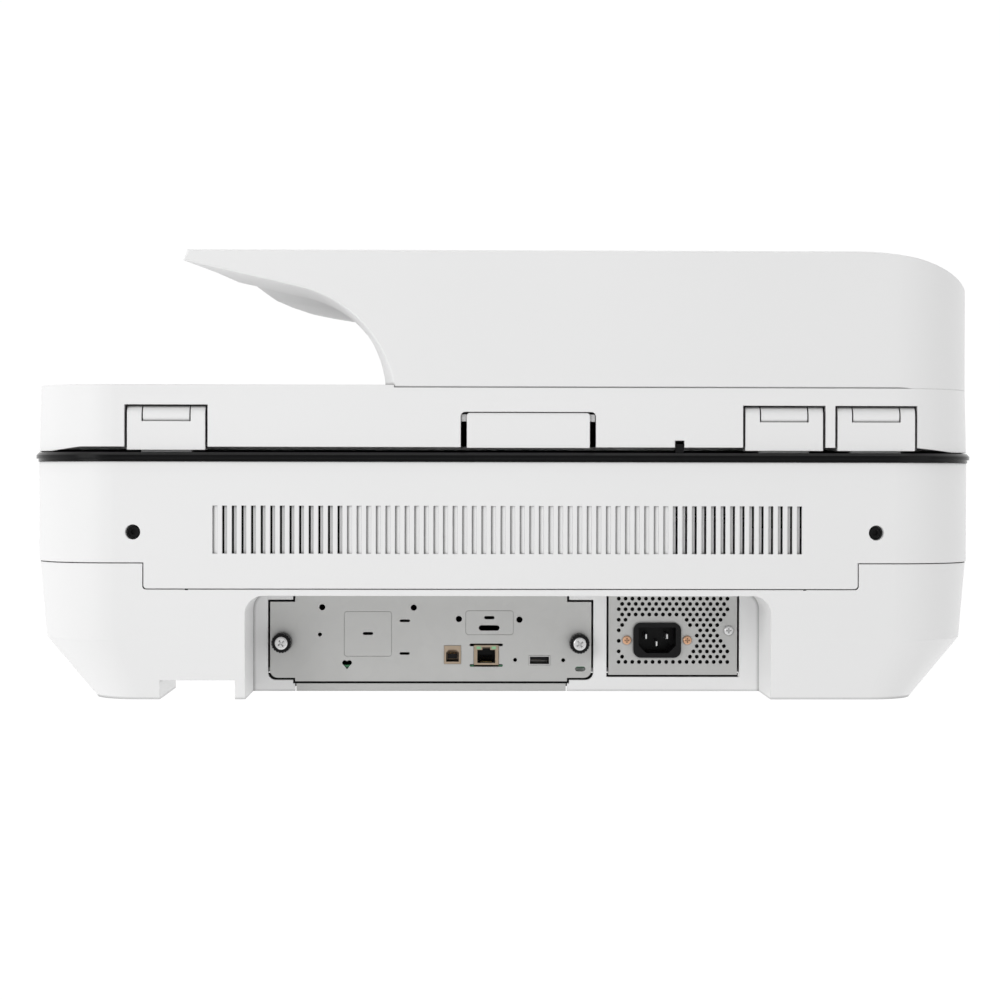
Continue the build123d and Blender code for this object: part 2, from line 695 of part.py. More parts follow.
def lid_pockets(grow, y0):
    """Rear pockets for the hinges, the cable cover and the sensor."""
    cuts = []
    for x in hinge_x.values():
        cuts.append(
            block(x - pocket_w / 2 - grow, x + pocket_w / 2 + grow, y0, rear + 2, 150, pocket_top + grow)
        )
    return cuts


def lid_shell():
    outer = lid_body(lid_z, lid_top_z, 0, lid_top_z)
    body = outer - lid_body(lid_z - 1, lid_top_z - wall, wall, lid_top_z)
    # the feeder's seat is a little lower than the delivery side
    body -= block(-width, foot_x, feeder_front - 0.4, rear + 2, feeder_z - 0.01, lid_top_z + 1)
    body += lid_body(feeder_z - 5, feeder_z - 3, 1, 0) & block(-width, foot_x + 1, feeder_front - 4, rear, 180, 199)
    body += lid_body(feeder_z - 3.1, feeder_z - 0.12, 0.0, 0) & block(-width, foot_x, feeder_front - 4, rear + 1, 180, 199)
    # lined pockets
    liners = block(-width, width, pivot_y - barrel_r - 4.4, rear + 1, lid_cut_z, pocket_top + 2.4)
    keep = lid_pockets(2.4, pivot_y - barrel_r - 4.4)
    lined = keep[0] + keep[1:]
    body += (lined & liners) & outer
    body -= lid_pockets(0, pivot_y - barrel_r - 2.0)
    for x in hinge_x.values():
        body -= block(x - knuckle_w / 2 - 0.3, x + knuckle_w / 2 + 0.3, 250, rear - 8, pivot_z - 0.4, pivot_z + barrel_r + 0.2)
    # cable cover slot
    slot = make_face(
        Polyline((tab_x0 - tab_gap, 150), (tab_x1 + tab_gap, 150), (tab_x1 + tab_gap, tab_top), (tab_x0 - tab_gap, tab_top), close=True)
    )
    slot = fillet([p for p in slot.vertices() if p.Y > 170], 3.0)
    body -= upright(slot, rear + 2, wall + 4)
    body -= block(flag_x - 3, flag_x + 3, rear - wall - 1, rear + 2, 150, lid_cut_z + sensor_notch_h)
    # raised edge along the rear, running out before the corners
    cut = make_face(
        Polyline((-289, 150), (292, 150), (292, lid_z - 0.2), (270, lid_cut_z), (-262, lid_cut_z), (-289, lid_z - 0.2), close=True)
    )
    body -= upright(cut, rear + 2, 26)
    # openings under the feeder for scanning and below the delivery dish
    body -= block(strip_x0 - 4, strip_x1 + 4, platen_y0 + 12, platen_y1 - 2, 180, 205)
    dish = block(foot_x + 12, half_w - 26, well_y0 + 4, well_y1 - 4, lid_top_z - 1.4, lid_top_z + 1)
    body -= dish
    return one(body)


def lid_liner():
    """Flat panel that closes the lid from below, with the scanning slot."""
    z0, z1 = 159.0, 161.2
    body = lid_body(z0, z1, wall + 0.4, 0)
    body -= block(-width, width, 270, rear, 150, 170)
    body -= block(strip_x0 - 4, strip_x1 + 4, platen_y0 + 4, platen_y1 - 4, 150, 170)
    return one(body)


def platen_pad():
    body = block(platen_x0 + 3, platen_x1 - 3, platen_y0 + 3, platen_y1 - 3, ledge_z + 0.4, 159.0)
    return fillet(body.edges().filter_by(Axis.Z), 4)


def scan_backing():
    """White bar that keeps the fed sheet on the strip glass."""
    return block(strip_x0 + 2, strip_x1 - 2, platen_y0 + 6, platen_y1 - 6, ledge_z + 1.5, 166.0)


def cable_cover():
    """Cover over the feeder's cable: a shallow tray hung in the lid's rear slot."""
    y1 = rear - 0.6
    body = block(tab_x0, tab_x1, y1 - 2.6, y1, lid_cut_z - 0.4, tab_top - 0.6)
    body = fillet(body.edges().filter_by(Axis.Y).sort_by(Axis.Z)[-2:], 2.0)
    body += block(tab_x0 - tab_gap + 0.3, tab_x1 + tab_gap - 0.3, y1 - 5, y1 - 2.6, tab_top - 6, tab_top - 1.5)
    body += block(tab_x0 + 2, tab_x0 + 4, y1 - 14, y1 - 2, 163, tab_top - 2)
    body += block(tab_x1 - 4, tab_x1 - 2, y1 - 14, y1 - 2, 163, tab_top - 2)
    return one(body)


def sensor_flag():
    """Finger beside the lid's edge that tells the machine the lid is down."""
    return block(flag_x - flag_w / 2, flag_x + flag_w / 2, rear - wall - 2.6, rear - 0.8, frame_top_z, flag_top)


# ---------------------------------------------------------------- feeder
def bow_circle(foot):
    """Centre and radius of the bow: tangent to the overhang's line, through the foot."""
    dx, dz = bow_x - tip_x, bow_z - tip_z
    n = math.hypot(dx, dz)
    dx, dz = dx / n, dz / n
    cx, cz = foot - bow_x, feeder_z - bow_z
    r = (cx * cx + cz * cz) / (2 * abs(dx * cz - dz * cx))
    return bow_x - dz * r, bow_z + dx * r, r


def side_profile(inset, foot=foot_x, tip=tip_x):
    """Feeder outline in X and Z, with its bow ending at foot and its overhang at tip."""
    bx, bz, r = bow_circle(foot)
    r = r + inset
    top = height - inset
    low = feeder_z + inset
    end = -half_w + feeder_draw + inset
    dx, dz = tip_x - bow_x, tip_z - bow_z
    n = math.hypot(dx, dz)
    nx, nz = -dz / n, dx / n                    # unit normal of the overhang's line, upwards
    start = (bx + nx * r, bz + nz * r)
    far = tip - inset
    tip_low = (far, start[1] + dz * (far - start[0]) / dx)
    toe = (bx - math.sqrt(r * r - (low - bz) ** 2), low)
    turned = [math.atan2(z - bz, x - bx) % (2 * math.pi) for x, z in (start, toe)]
    mid_a = sum(turned) / 2
    mid = (bx + r * math.cos(mid_a), bz + r * math.sin(mid_a))
    a, b = end_run - inset, height - end_z - inset
    end_arc = EllipticalCenterArc((end + a, top - b), a, b, start_angle=90, arc_size=90)
    lines = [
        Line((end, top - b), (end, low)),
        Line((end, low), toe),
        ThreePointArc(toe, mid, start),
        Line(start, tip_low),
        Line(tip_low, (far - 2.5, top)),
        Line((far - 2.5, top), (end + a, top)),
        end_arc,
    ]
    return make_face(Wire(lines))


def feeder_plan(z0, z1, inset=0.0):
    return slab(z0, z1, side=feeder_draw + inset, back=inset, nose=feeder_draw + inset)


def standing(face, y):
    return Pos(0, y, 0) * Rot(90, 0, 0) * face


def beyond(edge, z0, z1):
    """Space on the +X side of a line in plan, for cutting an end to shape."""
    pts = [(width, edge[0][1] + 20), (edge[0][0] + 4, edge[0][1] + 20)] + edge
    (xa, ya), (xb, yb) = edge[-2:]
    run = 20.0
    pts += [(xb + (xb - xa) / (yb - ya) * -run, yb - run), (width, yb - run)]
    return extrude(Pos(0, 0, z0) * make_face(Polyline(*pts, close=True)), z1 - z0)


def rear_deck():
    """Closed deck along the rear of the feeder: the bow opens out towards the rear face."""
    y_mid, y_edge = rear - flare_run, rear - edge_soft
    outer = upright(side_profile(0, inner_foot_x), y_mid, y_mid - well_y1)
    outer += loft([standing(side_profile(0, inner_foot_x), y_mid), standing(side_profile(0), y_edge)], ruled=True)
    outer += loft([standing(side_profile(0), y_edge), standing(side_profile(edge_soft), rear)], ruled=True)
    inner = upright(side_profile(wall, foot_x, 150.0), rear - wall, rear - wall - well_y1 - wall)
    body = (outer & feeder_plan(feeder_z - 1, height + 1)) - (inner & feeder_plan(feeder_z - 2, height + 2, wall))
    # the tray's bay is wider than the rollers' bay
    body -= block(cover_x, width, well_y1 - 1, tray_y1, feeder_z - 1, height + 1)
    side = upright(side_profile(0, inner_foot_x), tray_y1 + wall, wall)
    body += side & block(cover_x, width, tray_y1, rear, feeder_z, height)
    body += block(cover_x - wall, cover_x, well_y1, tray_y1 + wall, feeder_z, height)
    return body - beyond(end_cut, feeder_z - 5, height + 5)


def front_deck():
    """Narrow deck along the front of the feeder, ending short of the overhang."""
    outer = upright(side_profile(0), well_y0, well_y0 - feeder_front)
    inner = upright(side_profile(wall, foot_x, 150.0), well_y0 - wall, well_y0 - feeder_front - 2 * wall)
    body = (outer & feeder_plan(feeder_z - 1, height + 1)) - (inner & feeder_plan(feeder_z - 2, height + 2, wall))
    body -= block(front_deck_x, width, feeder_front - 1, well_y0 + 1, feeder_z - 1, height + 1)
    return body + (outer & block(front_deck_x - wall, front_deck_x, feeder_front, well_y0, feeder_z, height))


def feeder_housing():
    body = rear_deck() + front_deck()
    body += block(-half_w + feeder_draw, cover_x, well_y0 - 1, well_y1 + 1, feeder_z, feeder_z + 2.2)
    body += block(cover_x - 1, foot_x - 10, well_y0 - 1, tray_y1 + 1, feeder_z, feeder_z + 2.2)
    body -= block(foot_x, foot_x + 40, feeder_front - 1, rear + 1, feeder_z - 1, lid_top_z + 0.1)
    body -= block(strip_x0 - 4, strip_x1 + 4, platen_y0 + 12, platen_y1 - 2, 180, 205)
    # bearings of the feed shafts and the hinge bosses of cover and tray
    for name, (x, z, r) in shafts.items():
        far = tray_y1 if name == "exit" else well_y1
        body -= rod_y(r + rail_fit, x, well_y0 - 10, far + 12, z)
    body -= rod_y(2.5 + 0.1, cover_hinge[0], well_y0 - 8, well_y1 + 8, cover_hinge[1])
    body -= rod_y(2.5 + 0.1, tray_hinge[0], well_y0 - 8, tray_y1 + 8, tray_hinge[1])
    return one(body)


shafts = {                       # x, z and shaft radius of the feeder's turning parts
    "turn": (-235.0, 226.0, 4.0),
    "feed": (-150.0, 238.0, 4.0),
    "exit": (20.0, 219.0, 3.0),
}
cover_hinge = (-300.0, 215.0)
tray_hinge = (-38.0, 243.0)
pick_at = (-85.0, 246.0)
feed_pulley_r = 10.0


def jam_cover():
    """Top cover over the feed rollers: the round end and the top up to the input tray."""
    profile = side_profile(0)
    inner = side_profile(2.5)
    y0, y1 = well_y0 + tray_gap, well_y1 - tray_gap
    body = upright(profile, y1, y1 - y0) - upright(inner, y1 - 2.5, y1 - y0 - 5)
    body -= block(-width, width, y0 - 1, y1 + 1, 0, cover_low)
    body -= block(cover_x, width, y0 - 1, y1 + 1, 0, height + 5)
    ribs = block(-215, cover_x - 12, y0, y1, height - 6, height - 2)
    body += ribs - block(-211, cover_x - 16, y0 + 3, y1 - 3, height - 7, height)
    # lowered throat where sheets enter
    body -= block(cover_x - 40, cover_x + 1, y0 - 1, y1 + 1, 200, 262)
    for name in ("turn", "feed"):
        x, z, r = shafts[name]
        body -= block(x - r - 1.5, x + r + 2.4, y0 - 1, y1 + 1, cover_low - 1, z)
        body -= block(x - r - 1.5, x + r + 2.4, y0 - 1, y1 + 1, z - 1, z + r + 0.6)
    x, z = cover_hinge
    for ya, yb in ((y0, y0 + 8), (y1 - 8, y1)):
        arm = block(-half_w + feeder_draw + 1, x, ya, yb, z - 5, z + 5) + rod_y(5, x, ya, yb, z)
        body += arm
    body -= rod_y(2.5 + hinge_fit, x, y0 - 1, y1 + 1, z)
    dip = rod_x(60, cover_x - 26, cover_x - 8, 2, height + 58)
    body -= dip
    return one(body)


def feeder_pins():
    pins = []
    for (x, z), far in ((cover_hinge, well_y1), (tray_hinge, tray_y1)):
        pins.append(rod_y(2.5, x, well_y0 - 7, well_y0 + 9, z))
        pins.append(rod_y(2.5, x, far - 9, far + 7, z))
    return pins


tray_rise = 0.158        # rise of the input tray per millimetre along X
tray_t = 5.0
belly_x = 80.0           # where the tray's belly starts
belly = [(-128, 1), (-70, -4.7), (0, -8), (60, -9), (105, -8.8), (130, -7), (165, -4), (186, 1)]


def tray_top(x):
    """Height of the input tray's top face at x."""
    return 250.0 + (x - tray_hinge[0]) * tray_rise


def input_tray():
    """Sloping sheet tray with a slanting free edge and hinge arms at its inner end."""
    x0, x1 = cover_x + 12, 190.0
    y0, y1 = well_y0 + tray_gap, tray_y1 - tray_gap
    pts = [(x0, tray_top(x0)), (x1, tray_top(x1)), (x1, tray_top(x1) - tray_t), (x0, tray_top(x0) - tray_t)]
    body = upright(make_face(Polyline(*pts, close=True)), y1, y1 - y0)
    body -= beyond(tray_end, 200, 320)
    free = body.faces().filter_by(lambda f: f.center().X > 110 and abs(f.normal_at().Z) < 0.2).sort_by(Axis.X)[-1]
    body = fillet(free.edges().sort_by(SortBy.LENGTH)[-2:], 1.6)
    # belly under the outer half, where the guides' rack runs
    low = tray_top(belly_x) - tray_t
    rim = make_face(Polyline(*[(y, low + dz) for y, dz in belly], close=True))
    rim = extrude(Plane.YZ.offset(belly_x) * rim, 110, dir=(1, 0, tray_rise))
    body += rim - beyond([(x - 0.4, y) for x, y in tray_end], 200, 320)
    # the guides' slots
    for s in (-1, 1):
        y_a, y_b = sorted((s * (guide_y - guide_travel - 6), s * (guide_y + 8)))
        body -= block(guide_x - 4, guide_x + 4, y_a, y_b, 200, 300)
    for ya in (y0 + 12, well_y1 - 23):
        body += block(x0 - 14, x0 + 1, ya, ya + 10, tray_top(x0) - 10, tray_top(x0) - 2)
    x, z = tray_hinge
    for ya, yb in ((y0, y0 + 8), (y1 - 8, y1)):
        body += rod_y(5.5, x, ya, yb, z) + block(x - 1, x + 12, ya, yb, z - 2, z + 6)
    body -= rod_y(2.5 + hinge_fit, x, y0 - 1, y1 + 1, z)
    return one(body)


guide_x = 62.0
guide_y = 126.0
guide_travel = 55.0


def sheet_guide(s):
    """Side fence that slides across the input tray; s picks the side."""
    x0, x1 = 12.0, 106.0
    y_in = s * guide_y
    a, b = tray_top(x0), tray_top(x1)
    pts = [(x0, a + 0.5), (x1, b + 0.5), (x1, b + 6), (x1 - 6, b + 9), (x0 + 14, a + 20), (x0, a + 12)]
    ya, yb = sorted((y_in, y_in + s * 3.0))
    body = upright(make_face(Polyline(*pts, close=True)), yb, yb - ya)
    ya, yb = sorted((y_in, y_in - s * 18.0))
    foot = [(x0, a + 0.5), (x1, b + 0.5), (x1, b + 2.0), (x0, a + 2.0)]
    body += upright(make_face(Polyline(*foot, close=True)), yb, yb - ya)
    body += block(guide_x - 3, guide_x + 3, y_in - 4, y_in + 4, tray_top(guide_x) - 6.5, tray_top(guide_x) + 1.5)
    return one(body)


def roller(name, spans, tyre_r):
    """Shaft with rubber tyres; returns the shaft and the tyres."""
    x, z, r = shafts[name]
    end = {"turn": well_y1 + 40, "feed": well_y1 + 30, "exit": tray_y1 + 12}[name]
    shaft = rod_y(r, x, well_y0 - 9, end, z)
    tyres = [rod_y(tyre_r, x, a, b, z) - rod_y(r, x, a - 1, b + 1, z) for a, b in spans]
    return shaft, tyres


def drive_pulley_on(name, r):
    x, z, shaft_r = shafts[name]
    y = well_y1 + 22
    return pulley(x, z, r, y, belt_w, shaft_r)


def pick_shaft():
    x, z = pick_at
    return rod_y(3.0, x, -40, 44, z)


def pick_tyres():
    x, z = pick_at
    return [rod_y(11.0, x, a, a + 22, z) - rod_y(3.0, x, a - 1, a + 23, z) for a in (-30, 12)]


def pick_arm():
    """Frame that carries the pick roller and swings on the feed shaft."""
    x, z = pick_at
    fx, fz, fr = shafts["feed"]
    angle = math.degrees(math.atan2(z - fz, x - fx))
    length = math.hypot(x - fx, z - fz)
    body = None
    for ya, yb in ((-38, -34), (38, 42)):
        ear = block(0, length, ya, yb, -5, 5) + rod_y(7, 0, ya, yb, 0) + rod_y(6, length, ya, yb, 0)
        body = ear if body is None else body + ear
    body += block(14, length - 14, -38, 42, 3, 5)
    body = Pos(fx, 0, fz) * Rot(0, -angle, 0) * body
    body -= rod_y(fr + 0.05, fx, -60, 60, fz)
    body -= rod_y(3.0 + 0.05, x, -60, 60, z)
    return one(body)


def feed_belt():
    """Belt between the pulleys of the turn and feed rollers."""
    (xa, za, _), (xb, zb, _) = shafts["turn"], shafts["feed"]
    span = math.hypot(xb - xa, zb - za)
    tilt = math.degrees(math.atan2(zb - za, xb - xa))
    outer = SlotCenterToCenter(span, 2 * (feed_pulley_r + belt_t))
    inner = SlotCenterToCenter(span, 2 * feed_pulley_r)
    loop = Pos((xa + xb) / 2, (za + zb) / 2) * Rot(0, 0, tilt) * (outer - inner)
    return upright(loop, well_y1 + 22 + belt_w / 2, belt_w)


def feed_motor():
    """Motor on the end of the turn roller's shaft, on a foot plate."""
    x, z, r = shafts["turn"]
    y0 = well_y1 + 33
    body = rod_y(20, x, y0, y0 + 40, z) + block(x - 26, x + 26, y0 - 1.5, y0, feeder_z + wall, z + 22)
    body += block(x - 26, x + 26, y0 - 1.5, y0 + 20, feeder_z + wall, feeder_z + wall + 1.5)
    return one(body - rod_y(r + rail_fit, x, y0 - 2, y0 + 8, z))


# ---------------------------------------------------------------- front panel
def panel_frame(shape):
    """Places a shape drawn flat, its hinge edge at the origin and its length along -Y."""
    return Pos(0, panel_pivot_y, panel_pivot_z) * Rot(panel_tilt, 0, 0) * shape


def control_panel():
    body = block(-panel_w / 2, panel_w / 2, -panel_len, -6, -panel_t, 0)
    body = fillet(body.edges().filter_by(Axis.Z), 8)
    body = chamfer(body.faces().sort_by(Axis.Z)[-1].edges(), panel_edge)
    body += rod_x(5, -80, -50, 0, -5) + block(-80, -50, -8, 0, -10, -2)
    body += rod_x(5, 50, 80, 0, -5) + block(50, 80, -8, 0, -10, -2)
    body -= rod_x(2.5 + hinge_fit, -90, 90, 0, -5)
    body -= block(-92, 92, -panel_len + 8, -14, -1.8, 1)
    return panel_frame(one(body))


def display_glass():
    return panel_frame(block(-91.7, 91.7, -panel_len + 8.3, -14.3, -1.8, -0.2))


def panel_bracket():
    """Arms from the housing's front with the pin that carries the control panel."""
    body = block(-88, 88, front - 3, front, 118, 146)
    for x0, x1 in ((-88, -80.6), (-49.4, -42), (42, 49.4), (80.6, 88)):
        arm = panel_frame(rod_x(5.4, x0, x1, 0, -5))
        y, z = arm.center().Y, arm.center().Z
        body += arm + block(x0, x1, y, front, z - 5.4, z + 5.4)
    return one(body + panel_frame(rod_x(2.5, -88, 88, 0, -5)))


def power_button():
    body = rod_y(button_r, button_x, front - 1.5, front + 9, button_z)
    body = fillet(body.faces().sort_by(Axis.Y)[0].edges(), 0.8)
    return body


def save(name, shape):
    solids = shape if isinstance(shape, list) else [shape]
    flat = []
    for s in solids:
        flat.extend(s.solids())
    export_step(flat[0] if len(flat) == 1 else Compound(children=flat), f"parts/{name}.step")


def build():
    os.makedirs("parts", exist_ok=True)
    save("lower_housing", lower_housing())
    save("upper_housing", upper_housing())
    save("vent_baffle", vent_baffle())
    save("platen_frame", platen_frame())
    save("platen_glass", glass(platen_x0 - glass_lap, platen_x1 + glass_lap))
    save("strip_glass", glass(strip_x0 - glass_lap, strip_x1 + glass_lap - 0.5))
    save("chassis", chassis())
    save("carriage_rails", rails())
    save("scan_carriage", carriage())
    save("light_bar", light_bar())
    save("carriage_belt", loop_belt(-pulley_x, pulley_x, pulley_r, belt_t, belt_y, belt_w, belt_z))
    shaft = rod_y(2.5, -pulley_x, belt_y - 6, belt_y + belt_w / 2 + 13, belt_z)
    save("drive_pulley", pulley(-pulley_x, belt_z, pulley_r, belt_y, belt_w, 2.5) + shaft)
    save("idler_pulley", pulley(pulley_x, belt_z, pulley_r, belt_y, belt_w, 2.5 + rail_fit))
    save("stepper_motor", stepper_motor())
    save("connector_plate", connector_plate())
    save("board_channel", board_channel())
    save("circuit_board", circuit_board())
    save("usb_b_port", usb_b_port())
    save("ethernet_port", ethernet_port())
    save("port_lamps", port_lamps())
    save("usb_a_port", usb_a_port())
    save("thumbscrew_knobs", [thumbscrew(x, z) for x, z in thumb])
    save("thumbscrew_centres", [thumb_centre(x, z) for x, z in thumb])
    save("power_supply", power_supply())
    save("power_inlet", power_inlet())
    save("inlet_pins", inlet_pins())
    y_panel = recess_y - 0.4
    cx, cz = inlet
    half = inlet_screw_pitch / 2
    save("inlet_screws", [pan_screw(cx + s * half, y_panel, cz, small_screw_r, 1.8, small_shank_r, 5.0) for s in (-1, 1)])
    save("earth_screw", pan_screw(earth_screw[0], y_panel, earth_screw[1], 3.1, 2.0, small_shank_r, 5.0))
    save("cover_screws", [cover_screw(s) for s in (-1, 1)])
    save("feet", feet())
    save("hinge_posts", [hinge_post(x) for x in hinge_x.values()])
    save("hinge_knuckles", [hinge_knuckle(x) for x in hinge_x.values()])
    save("hinge_pins", hinge_pins())
    save("lid_shell", lid_shell())
    save("lid_liner", lid_liner())
    save("platen_pad", platen_pad())
    save("scan_backing", scan_backing())
    save("cable_cover", cable_cover())
    save("sensor_flag", sensor_flag())
    save("feeder_housing", feeder_housing())
    save("jam_cover", jam_cover())
    save("feeder_pins", feeder_pins())
    save("input_tray", input_tray())
    save("sheet_guide_front", sheet_guide(-1))
    save("sheet_guide_rear", sheet_guide(1))
    spans = {"turn": [(-60, 60)], "feed": [(-30, -8), (12, 34)], "exit": [(-90, -70), (-10, 10), (70, 90)]}
    tyres_r = {"turn": 21.0, "feed": 12.0, "exit": 9.0}
    for name, at in spans.items():
        shaft, tyres = roller(name, at, tyres_r[name])
        save(f"{name}_roller", shaft + drive_pulley_on(name, feed_pulley_r) if name != "exit" else shaft)
        save(f"{name}_tyres", tyres)
    save("pick_arm", pick_arm())
    save("pick_roller", [pick_shaft()])
    save("pick_tyres", pick_tyres())
    save("feed_belt", feed_belt())
    save("feed_motor", feed_motor())
    save("control_panel", control_panel())
    save("display_glass", display_glass())
    save("panel_bracket", panel_bracket())
    save("power_button", power_button())


build()
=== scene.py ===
import bpy
import bmesh
import json
import math
from mathutils import Vector, Matrix


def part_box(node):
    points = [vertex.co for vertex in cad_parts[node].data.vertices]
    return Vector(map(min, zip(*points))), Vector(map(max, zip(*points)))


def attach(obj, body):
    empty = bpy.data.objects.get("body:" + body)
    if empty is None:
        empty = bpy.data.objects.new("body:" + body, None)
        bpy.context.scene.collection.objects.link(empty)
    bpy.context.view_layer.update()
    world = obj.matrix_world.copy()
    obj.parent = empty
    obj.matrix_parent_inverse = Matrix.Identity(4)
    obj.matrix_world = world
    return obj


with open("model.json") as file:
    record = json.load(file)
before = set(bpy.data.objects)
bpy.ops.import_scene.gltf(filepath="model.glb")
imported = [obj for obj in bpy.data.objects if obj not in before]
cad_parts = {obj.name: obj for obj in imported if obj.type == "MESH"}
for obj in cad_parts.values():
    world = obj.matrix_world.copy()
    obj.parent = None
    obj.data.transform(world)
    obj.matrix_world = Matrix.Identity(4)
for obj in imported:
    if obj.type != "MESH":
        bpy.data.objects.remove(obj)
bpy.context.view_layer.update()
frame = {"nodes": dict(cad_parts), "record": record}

nodes = frame["nodes"]
print("frame loaded,", len(nodes), "CAD nodes")


class Val:
    # a number on its way through a material, so maths reads as maths
    def __init__(self, finish, socket):
        self.finish, self.socket = finish, socket

    def maths(self, operation, a, b):
        return self.finish.node("Math", {"operation": operation}, {0: a, 1: b})

    def __add__(self, other):
        return self.maths("ADD", self, other)

    def __radd__(self, other):
        return self.maths("ADD", other, self)

    def __mul__(self, other):
        return self.maths("MULTIPLY", self, other)

    def __rmul__(self, other):
        return self.maths("MULTIPLY", other, self)

    def above(self, level):
        return self.maths("GREATER_THAN", self, level)


class Finish:
    def __init__(self, name):
        self.material = bpy.data.materials.new(name)
        self.material.use_nodes = True
        self.tree = self.material.node_tree
        self.tree.nodes.clear()
        self.out = self.tree.nodes.new("ShaderNodeOutputMaterial")
        self.shader = self.tree.nodes.new("ShaderNodeBsdfPrincipled")
        self.tree.links.new(self.shader.outputs[0], self.out.inputs["Surface"])
        self.place = self.node("TexCoord", output="Object")

    def feed(self, socket, value):
        if isinstance(value, Val):
            self.tree.links.new(value.socket, socket)
        else:
            socket.default_value = value

    def node(self, kind, settings=None, inputs=None, output=0):
        made = self.tree.nodes.new("ShaderNode" + kind)
        for key, value in (settings or {}).items():
            setattr(made, key, value)
        for key, value in (inputs or {}).items():
            self.feed(made.inputs[key], value)
        return Val(self, made.outputs[output])

    def noise(self, scale, detail=3.0, stretch=None):
        where = self.place
        if stretch:
            where = self.node("Mapping", {}, {"Vector": where, "Scale": stretch})
        return self.node("TexNoise", {}, {"Vector": where, "Scale": scale, "Detail": detail})

    def mix(self, amount, first, second):
        return self.node("Mix", {"data_type": "RGBA"}, {0: amount, 6: first, 7: second}, output=2)

    def bump(self, height, strength, distance, normal=None):
        inputs = {"Height": height, "Strength": strength, "Distance": distance}
        if normal:
            inputs["Normal"] = normal
        return self.node("Bump", {}, inputs)

    def roundedEdges(self, radius):
        return self.node("Bevel", {"samples": 4}, {"Radius": radius})

    def shaded(self, tone, shadeReach, depth=0.85):
        # painted shade: darkens a tone inside narrow gaps and recesses, where shade falls, by ambient
        # occlusion
        openness = self.node("AmbientOcclusion", {"samples": 8}, {"Distance": shadeReach}, output="AO")
        dark = self.mix(depth, tone, (0, 0, 0, 1))
        return self.mix(openness, dark, tone)

    def set(self, **sockets):
        names = {"colour": "Base Color", "rough": "Roughness", "metal": "Metallic", "normal": "Normal",
                 "coat": "Coat Weight", "coatRough": "Coat Roughness", "specular": "Specular IOR Level",
                 "through": "Transmission Weight", "ior": "IOR"}
        for key, value in sockets.items():
            self.feed(self.shader.inputs[names[key]], value)
        return self.material


def moulded(name, colour, rough=0.46, grain=2200.0, depth=0.25, edge=0.0006, specular=0.4):
    # injection-moulded plastic: spark-eroded grain, faint flow shade, dust lying on what faces up, and
    # painted shade in gaps and recesses
    dust, shadeReach = 0.03, 0.0022
    f = Finish(name)
    shade = f.noise(5.0, 2.0)
    speck = f.noise(grain, 4.0)
    up = f.node("SeparateXYZ", {}, {0: f.node("NewGeometry", output="Normal")}, output="Z")
    lint = f.noise(60.0, 5.0).above(0.62) * up.above(0.8)
    darker = tuple(c * 0.955 for c in colour)
    dusty = tuple(c * 0.9 + 0.05 for c in colour)
    body = f.mix(shade, (*darker, 1), (*colour, 1))
    body = f.mix(lint * dust, body, (*dusty, 1))
    normal = f.bump(speck, depth, 0.00006, f.roundedEdges(edge))
    # painted shade: gaps and recesses darkened in the colour
    body = f.shaded(body, shadeReach)
    return f.set(colour=body, rough=rough - 0.05 + speck * 0.1, normal=normal, specular=specular)


def sheetSteel(name, colour, rough=0.36, across=(1.0, 30.0, 30.0), edge=0.00025):
    # zinc-plated sheet: soft spangle, rolling marks along X, a few rubbed spots, and painted shade in gaps
    # and recesses
    f = Finish(name)
    spangle = f.node("TexVoronoi", {}, {"Vector": f.place, "Scale": 170.0}, output="Color")
    spread = f.node("RGBToBW", {}, {0: spangle})
    rolled = f.noise(90.0, 4.0, stretch=across)
    cloud = f.noise(22.0, 3.0)
    light = tuple(min(1.0, c * 1.05) for c in colour)
    dark = tuple(c * 0.94 for c in colour)
    # painted shade: gaps and recesses darkened in the colour
    tone = f.shaded(f.mix(spread * 0.25 + cloud * 0.75, (*dark, 1), (*light, 1)), 0.0012, 0.6)
    normal = f.bump(rolled, 0.08, 0.0002, f.roundedEdges(edge))
    return f.set(colour=tone, metal=0.7, rough=rough + cloud * 0.1 + spread * 0.02, normal=normal)


def turnedMetal(name, colour, rough=0.22):
    f = Finish(name)
    rings = f.noise(900.0, 3.0, stretch=(1.0, 0.02, 1.0))
    smudge = f.noise(45.0, 4.0)
    tone = f.mix(smudge, tuple(c * 0.8 for c in colour) + (1,), (*colour, 1))
    # painted shade: screw crosses and other recesses darkened in the colour
    tone = f.shaded(tone, 0.0009, 0.97)
    normal = f.bump(rings, 0.1, 0.00008, f.roundedEdges(0.0002))
    return f.set(colour=tone, metal=1.0, rough=rough + smudge * 0.15, normal=normal)


def rubber(name, colour, rough=0.75):
    f = Finish(name)
    ground = f.noise(1500.0, 5.0)
    chalk = f.noise(35.0, 3.0)
    tone = f.mix(chalk * 0.6, (*colour, 1), tuple(min(1.0, c * 1.9 + 0.01) for c in colour) + (1,))
    return f.set(colour=tone, rough=rough + ground * 0.12, normal=f.bump(ground, 0.4, 0.0001), specular=0.3)


def glossTrim(name):
    # piano-black trim with hairline polishing marks
    f = Finish(name)
    hair = f.noise(700.0, 3.0, stretch=(0.05, 0.05, 1.0))
    haze = f.noise(30.0, 3.0)
    tone = f.mix(haze, (0.0012, 0.0012, 0.0014, 1), (0.003, 0.003, 0.0033, 1))
    return f.set(colour=tone, rough=0.16 + haze * 0.1, specular=0.2,
                 normal=f.bump(hair, 0.03, 0.0001, f.roundedEdges(0.0008)))


def clearGlass(name):
    f = Finish(name)
    smears = f.noise(40.0, 5.0)
    return f.set(colour=(0.9, 0.97, 0.95, 1), rough=0.01 + smears * 0.03, through=0.96, ior=1.5)


